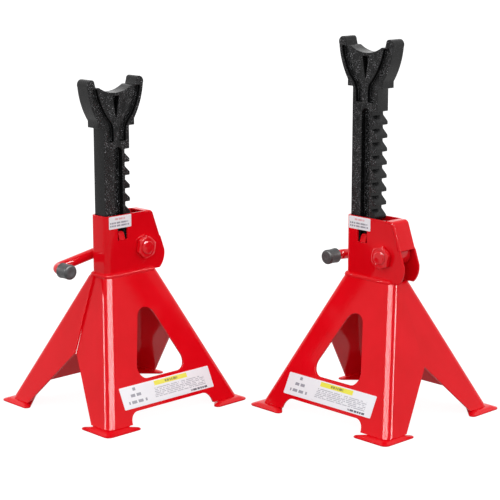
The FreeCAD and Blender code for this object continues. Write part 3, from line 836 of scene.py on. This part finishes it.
@dataclass
class LockingLever:
    """The pawl, its pin, the cross shaft with its nut and spacer, the bent rod and its grip."""

    place: StandPlace
    paint: bpy.types.Material
    rubber: bpy.types.Material
    pivot: tuple[float, float] = (35.5, 187.0)
    rod_radius: float = 6.0
    rod_y: float = 27.0
    rod_drop: float = 10.0
    rod_front: float = 9.6
    rod_reach: float = 101.7
    rod_bend: float = 8.0
    rod_end_y: float = 0.1
    grip_radius: float = 8.8
    grip_y: tuple[float, float] = (-2.8, 14.8)
    nut_flats: float = 24.0
    nut_turn: float = 18.0
    nut_y: tuple[float, float] = (-20.6, -14.4)
    stud_radius: float = 8.0
    stud_end: float = -22.4
    thread_pitch: float = 1.5

    def build(self) -> None:
        """Make and dress every piece of the lever."""
        body = self.place.node("lever")
        for name, width in (("pawl", 0.7), ("pawl_pin", 0.3), ("pivot_spacer", 0.5)):
            node = self.place.node(name)
            crowded = name == "pawl"  # its pin holes cut close to its other edges
            piece = softened(node, node + ("_cast" if crowded else "_turned"), width, clamp=crowded)
            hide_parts(node)
            dress(piece, self.paint, body)
        for node, piece in (
            ("pivot_shaft", self.shaft()),
            ("pivot_nut", self.nut()),
            ("handle_rod", self.rod()),
        ):
            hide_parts(self.place.node(node))
            dress(piece, self.paint, body)
        dress(self.stud_thread(), self.paint, body)
        grip = self.grip()
        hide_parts(self.place.node("handle_grip"))
        dress(grip, self.rubber, body)

    def back_along_rod(self, distance: float) -> Points:
        """The point so far back along the handle from the pivot, as X and Z."""
        slope = math.radians(self.rod_drop)
        return np.array(self.pivot) - distance * np.array((math.cos(slope), math.sin(slope)))

    def shaft(self) -> bpy.types.Object:
        """The shaft and its head, cut off where the thread starts."""
        node = self.place.node("pivot_shaft")
        name = node + "_turned"
        work = merged_copy(node, name)
        cut_y = self.nut_y[0] + 1.0
        where = self.place.to_row(np.array(((self.pivot[0], cut_y, self.pivot[1]),)))[0]
        cut = bmesh.ops.bisect_plane(
            work,
            geom=work.verts[:] + work.edges[:] + work.faces[:],
            plane_co=Vector(where),
            plane_no=Vector(-self.place.across),
            clear_outer=True,
        )
        rim = [item for item in cut["geom_cut"] if isinstance(item, bmesh.types.BMEdge)]
        bmesh.ops.holes_fill(work, edges=rim)
        mesh = bpy.data.meshes.new(name)
        work.to_mesh(mesh)
        work.free()
        shade(mesh)
        piece = bpy.data.objects.new(name, mesh)
        bpy.context.scene.collection.objects.link(piece)
        round_over(piece, 0.3, 2)
        return piece

    def stud_thread(self) -> bpy.types.Object:
        """The threaded end, whose radius is a rounded sawtooth of turn and distance along the shaft."""
        start, end = self.nut_y[0] + 1.2, self.stud_end
        steps = 40
        along = np.linspace(start, end, steps)
        turn = np.linspace(0, 2 * math.pi, 72, endpoint=False)
        phase = along[:, None] / self.thread_pitch + turn / (2 * math.pi)
        crest = 0.5 + 0.5 * np.cos(2 * math.pi * phase)
        chamfer = np.clip((along - end) / 1.0, 0, 1)[:, None]
        radius = (self.stud_radius - 0.75 * (1 - crest)) * (0.86 + 0.14 * chamfer)
        rings = np.stack(
            [
                self.pivot[0] + radius * np.cos(turn),
                np.broadcast_to(along[:, None], radius.shape),
                self.pivot[1] + radius * np.sin(turn),
            ],
            axis=-1,
        )
        return tube(self.place.node("stud_thread"), rings, self.place.to_row)

    def nut(self) -> bpy.types.Object:
        """A hexagon nut with both faces chamfered and a low washer face.

        At turn t the hexagon's radius is half the flats over cos(t within its sixth), and each ring
        takes the smaller of that and the chamfer cone's radius at its height.
        """
        turn = np.linspace(0, 2 * math.pi, 120, endpoint=False)
        sixth = math.pi / 3
        within = (turn - math.radians(self.nut_turn)) % sixth - sixth / 2
        hexagon = self.nut_flats / 2 / np.cos(within)
        outer, inner = self.nut_y
        flat = self.nut_flats / 2
        heights = (0.0, 0.12, 0.35, 0.7, 1.2, 1.7, 4.6, 5.1, 5.5, 5.8)
        over_flat = (-0.9, -0.5, 0.1, 0.75, 1.6, 2.5, 2.5, 1.4, 0.4, -0.2)
        rings = []
        for height, over in zip(heights, over_flat):
            radius = np.minimum(hexagon, flat + over)
            level = np.full_like(turn, outer + height)
            rings.append(np.stack([radius * np.cos(turn), level, radius * np.sin(turn)], 1))
        washer = flat - 0.6
        round_it = np.stack([np.cos(turn), np.zeros_like(turn), np.sin(turn)], 1)
        bore = self.stud_radius
        head = [round_it * (bore - 0.4) + (0, outer + 0.7, 0), round_it * (bore + 0.5) + (0, outer, 0)]
        tail = [round_it * washer + (0, outer + 5.8, 0), round_it * washer + (0, inner, 0)]
        rings = np.stack(head + rings + tail) + (self.pivot[0], 0.0, self.pivot[1])
        return tube(self.place.node("pivot_nut_hexagon"), rings, self.place.to_row)

    def rod(self) -> bpy.types.Object:
        """A circle carried along the handle: a straight, a quarter bend and the length in the grip."""
        bend = arc((self.rod_reach - self.rod_bend, self.rod_y - self.rod_bend), self.rod_bend, 90, 0, 24)
        start = (-self.rod_front, self.rod_y)
        plan = np.concatenate([[start], bend, [(self.rod_reach, self.rod_end_y)]])
        plan = evenly(plan, 1.0)
        flat = np.stack([self.back_along_rod(d) for d in plan[:, 0]])
        path = np.stack([flat[:, 0], plan[:, 1], flat[:, 1]], axis=-1)
        tangent = directions(path)
        slope = math.radians(self.rod_drop)
        up = np.array((-math.sin(slope), 0.0, math.cos(slope)))
        side = np.cross(tangent, up)
        turn = np.linspace(0, 2 * math.pi, 48, endpoint=False)
        to_end = np.arange(len(path)) * 1.0
        radius = self.rod_radius - 0.9 * np.clip(1 - to_end, 0, 1)
        circle = np.cos(turn)[None, :, None] * side[:, None, :] + np.sin(turn)[None, :, None] * up
        rings = path[:, None, :] + radius[:, None, None] * circle
        return tube(self.place.node("handle_rod_bent"), rings, self.place.to_row)

    def grip(self) -> bpy.types.Object:
        """The rubber cap: a domed end, a body with a slight waist and a rolled mouth."""
        low, high = self.grip_y
        full = self.grip_radius
        end_round = 2.6
        middle = ((low + 0.35, 0.4), (low + 0.3, 2.2), (low + 0.05, 3.2), (low, 4.2))
        dome = np.array((*middle, (low, full - end_round)))
        shoulder = arc((low + end_round, full - end_round), end_round, 180, 90, 8)
        lengths = np.linspace(low + end_round + 0.8, high - 2.8, 14)
        share = (lengths - lengths[0]) / (lengths[-1] - lengths[0])
        body = np.stack([lengths, full - 0.28 * np.sin(math.pi * share)], axis=-1)
        mouth = arc((high - 1.1, full - 0.75), 0.95, 120, -30, 8)
        inside = np.array(((high - 0.5, self.rod_radius + 1.2), (high - 2.5, self.rod_radius - 0.5)))
        profile = np.concatenate([dome, shoulder, body, mouth, inside])
        at = self.back_along_rod(self.rod_reach)
        centre = np.array((at[0], 0.0, at[1]))
        name = self.place.node("handle_grip_moulded")
        return lathe(name, profile, centre, np.array((0.0, 1.0, 0.0)), self.place.to_row)


@dataclass
class PrintedLabel:
    """A sticker: a thin sheet with rounded corners lying on one of the near faces."""

    place: StandPlace
    vinyl: bpy.types.Material
    piece: str
    corner: float = 1.2
    lift: float = 0.22

    def build(self) -> None:
        """Make and dress the sticker."""
        node = self.place.node(self.piece)
        piece = self.sheet(node)
        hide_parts(node)
        dress(piece, self.vinyl, self.place.node("frame"))

    def span(self, node: str) -> tuple[Points, Points, Points]:
        """The sticker's lower back corner and its two edges, in metres, from its CAD node's points."""
        mesh = frame["nodes"][node].data
        points = np.zeros(len(mesh.vertices) * 3)
        mesh.vertices.foreach_get("co", points)
        points = points.reshape(-1, 3)
        along = points @ self.place.along
        up = points[:, 2]
        low = up < up.min() + 1.0 * MM
        back = along < along.min() + 1.0 * MM
        outward = points @ -self.place.across
        skin = [points[mask][np.argmax(outward[mask])] for mask in (low & back, low & ~back, ~low & back)]
        return skin[0], skin[1] - skin[0], skin[2] - skin[0]

    def sheet(self, node: str) -> bpy.types.Object:
        """The sticker's outline, shrunk in rings to its middle, with its rim turned down to the face."""
        origin, wide, tall = self.span(node)
        width, height = np.linalg.norm(wide) / MM, np.linalg.norm(tall) / MM
        out = np.cross(wide, tall)
        out /= np.linalg.norm(out)
        quarter = arc((0.0, 0.0), self.corner, 0, 90, 6)
        half = np.array((width / 2 - self.corner, height / 2 - self.corner))
        corners = []
        for turn, sign in zip(range(4), ((1, 1), (-1, 1), (-1, -1), (1, -1))):
            c, s = round(math.cos(turn * math.pi / 2)), round(math.sin(turn * math.pi / 2))
            corners.append(quarter @ np.array(((c, s), (-s, c))) + half * sign)
        outline = np.concatenate(corners)
        shares = np.array((0.3, 0.7, 0.985, 1.0, 1.0, 0.985, 0.3))
        rises = np.array((0.0, 0.0, 0.0, -0.03, -self.lift, -self.lift, -self.lift))
        plan = shares[:, None, None] * outline[None] + np.array((width / 2, height / 2))
        uv = plan / np.array((width, height))
        rings = origin + uv[..., :1] * wide + uv[..., 1:] * tall + rises[:, None, None] * MM * out
        piece = tube(node + "_sheet", rings, lambda points: points)
        self.map_print(piece.data, origin, wide, tall)
        return piece

    @staticmethod
    def map_print(mesh: bpy.types.Mesh, origin: Points, wide: Points, tall: Points) -> None:
        """Give each corner of the mesh its share of the sticker's width and height."""
        points = np.zeros(len(mesh.vertices) * 3)
        mesh.vertices.foreach_get("co", points)
        vertex = np.zeros(len(mesh.loops), np.int32)
        mesh.loops.foreach_get("vertex_index", vertex)
        away = points.reshape(-1, 3)[vertex] - origin
        uv = np.stack([away @ wide / (wide @ wide), away @ tall / (tall @ tall)], axis=-1)
        layer = mesh.uv_layers.new(name=UV_NAME)
        layer.data.foreach_set("uv", uv.astype(np.float32).ravel())


# ---- studio --------------------------------------------------------------------------------------
@dataclass(frozen=True)
class Panel:
    """A soft box round a stand: the directions of its two ends, its height in degrees and its glow.

    A direction is an azimuth, turned from the camera's side and positive to the camera's right, and an
    elevation, both in degrees.
    """

    name: str
    stand: str
    start: tuple[float, float]
    end: tuple[float, float]
    height: float
    glow: float
    away: float = 6.0


@dataclass
class Studio:
    """The floor, the lights and the camera."""

    heading: float = 43.9
    tilt: float = 12.2
    aim: tuple[float, float, float] = (-0.0035, -0.00655, 0.1895)
    distance: float = 1.8963
    focal: float = 117.5
    floor_half: float = 30.0
    floor_colour: tuple[float, float, float] = (0.20, 0.20, 0.20)
    floor_glow: float = 0.93
    sky_below: float = 0.28
    sky_level: float = 1.50
    sky_overhead: float = 1.05

    def towards_camera(self, azimuth: float, elevation: float) -> Vector:
        """A direction turned from the camera's side, positive to the camera's right, and raised."""
        turn = math.radians(self.heading - azimuth)
        rise = math.radians(elevation)
        level = Vector((-math.sin(turn), -math.cos(turn), 0.0))
        return level * math.cos(rise) + Vector((0.0, 0.0, math.sin(rise)))

    def floor(self) -> None:
        """A plain pale floor that fills the view."""
        half = self.floor_half
        mesh = bpy.data.meshes.new("studio_floor")
        corners = [(-half, -half, 0.0), (half, -half, 0.0), (half, half, 0.0), (-half, half, 0.0)]
        mesh.from_pydata(corners, [], [(0, 1, 2, 3)])
        floor = bpy.data.objects.new("studio_floor", mesh)
        bpy.context.scene.collection.objects.link(floor)
        nodes = Nodes("pale_floor")
        nodes.set(
            Base_Color=(*self.floor_colour, 1.0),
            Roughness=0.9,
            Specular_IOR_Level=0.0,
            Emission_Color=(1.0, 1.0, 1.0, 1.0),
            Emission_Strength=self.floor_glow,
        )
        mesh.materials.append(nodes.material)
        floor.visible_diffuse = False
        floor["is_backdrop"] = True

    def sky(self) -> None:
        """A dome of light: dim below the floor, brightest at the horizon and softer overhead."""
        world = bpy.data.worlds.new("studio_dome")
        world.use_nodes = True
        tree = world.node_tree
        coordinates = tree.nodes.new("ShaderNodeTexCoord")
        split = tree.nodes.new("ShaderNodeSeparateXYZ")
        tree.links.new(coordinates.outputs["Generated"], split.inputs[0])
        glow = tree.nodes.new("ShaderNodeMath")
        glow.operation = "MULTIPLY"
        fade = self.sky_overhead / self.sky_level
        for slot, span in enumerate(((-0.1, 0.1, self.sky_below, self.sky_level), (0.25, 0.85, 1.0, fade))):
            ramp = tree.nodes.new("ShaderNodeMapRange")
            ramp.interpolation_type = "SMOOTHSTEP"
            for key, value in zip(("From Min", "From Max", "To Min", "To Max"), span):
                ramp.inputs[key].default_value = value
            tree.links.new(split.outputs[2], ramp.inputs["Value"])
            tree.links.new(ramp.outputs["Result"], glow.inputs[slot])
        background = tree.nodes["Background"]
        background.inputs["Color"].default_value = (1.0, 1.0, 1.0, 1.0)
        tree.links.new(glow.outputs[0], background.inputs["Strength"])
        bpy.context.scene.world = world

    def light(self, panel: Panel, at: Vector, receivers: bpy.types.Collection) -> None:
        """Hang one soft box, which shows only as a reflection.

        Args:
            panel: its size, glow and the directions of its ends.
            at: the point that it is aimed at.
            receivers: the pieces that it lights.
        """
        start, end = [self.towards_camera(*way) * panel.away for way in (panel.start, panel.end)]
        along = end - start
        outward = ((start + end) / 2).normalized()
        data = bpy.data.lights.new(panel.name, "AREA")
        data.shape = "RECTANGLE"
        data.size, data.size_y = along.length, panel.away * math.radians(panel.height)
        data.energy = panel.glow * data.size * data.size_y * math.pi
        lamp = bpy.data.objects.new(panel.name, data)
        bpy.context.scene.collection.objects.link(lamp)
        across = along.normalized()
        up = outward.cross(across)
        turn = Matrix((across, up, outward)).transposed()
        lamp.matrix_world = Matrix.LocRotScale(at + (start + end) / 2, turn.to_quaternion(), None)
        lamp.visible_camera = False
        lamp.visible_diffuse = False
        lamp.light_linking.receiver_collection = receivers

    def camera(self) -> None:
        """The camera, level and square to its heading, looking a little down."""
        data = bpy.data.cameras.new("studio_camera")
        data.lens = self.focal
        data.sensor_width = 36.0
        data.clip_end = 100.0
        camera = bpy.data.objects.new("studio_camera", data)
        bpy.context.scene.collection.objects.link(camera)
        back = self.towards_camera(0.0, self.tilt)
        camera.location = Vector(self.aim) + back * self.distance
        camera.rotation_mode = "QUATERNION"
        camera.rotation_quaternion = back.to_track_quat("Z", "Y")
        bpy.context.scene.camera = camera


PANELS = (
    Panel("left_wide_box", "left", (-12.0, 48.0), (77.0, 31.0), 16.0, 40.0),
    Panel("left_thin_box", "left", (-80.0, 18.0), (-67.0, 27.0), 12.0, 44.0),
    Panel("right_wide_box", "right", (12.0, 48.0), (-69.0, 34.0), 16.0, 34.0),
    Panel("right_thin_box", "right", (61.0, 31.0), (76.0, 22.0), 12.0, 44.0),
)


def lit_by_boxes(name: str) -> bpy.types.Collection:
    """Gather a stand's glossy painted sheet and lever, which its own soft boxes light.

    The casting and the feet are left out: low over the floor or seen from behind, they would turn white.
    """
    group = bpy.data.collections.new(f"{name}_stand")
    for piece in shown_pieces():
        dull = "ratchet_post" in piece.name or "_foot_" in piece.name
        if piece.name.startswith(name) and not dull:
            group.objects.link(piece)
    return group


def main() -> None:
    """Build both stands, then the studio round them."""
    logging.basicConfig(level=logging.INFO, format="%(name)s: %(message)s")
    paint = PowderCoat().material()
    lever_coat = PowderCoat(name="red_lever_paint", deep_colour=(0.66, 0.006, 0.012), specular=0.30)
    lever_paint = lever_coat.material()
    black = HammeredBlack().material()
    rubber = MouldedRubber().material()
    face_print = PrintedVinyl("face_sticker", FACE_MARKS).material()
    column_print = PrintedVinyl("column_sticker", COLUMN_MARKS).material()
    studio = Studio()
    for name in ("left", "right"):
        place = StandPlace.of(name)
        PressedBase(place, paint).build()
        FoldedColumn(place, paint).build()
        RatchetPost(place, black).build()
        LockingLever(place, lever_paint, rubber).build()
        PrintedLabel(place, face_print, "face_label").build()
        PrintedLabel(place, column_print, "column_label").build()
        group = lit_by_boxes(name)
        for panel in PANELS:
            if panel.stand == name:
                studio.light(panel, Vector(place.axis_at) + Vector((0.0, 0.0, 0.12)), group)
    studio.floor()
    studio.sky()
    studio.camera()
    bpy.context.scene.view_settings.view_transform = "Standard"


if __name__ == "__main__":
    main()
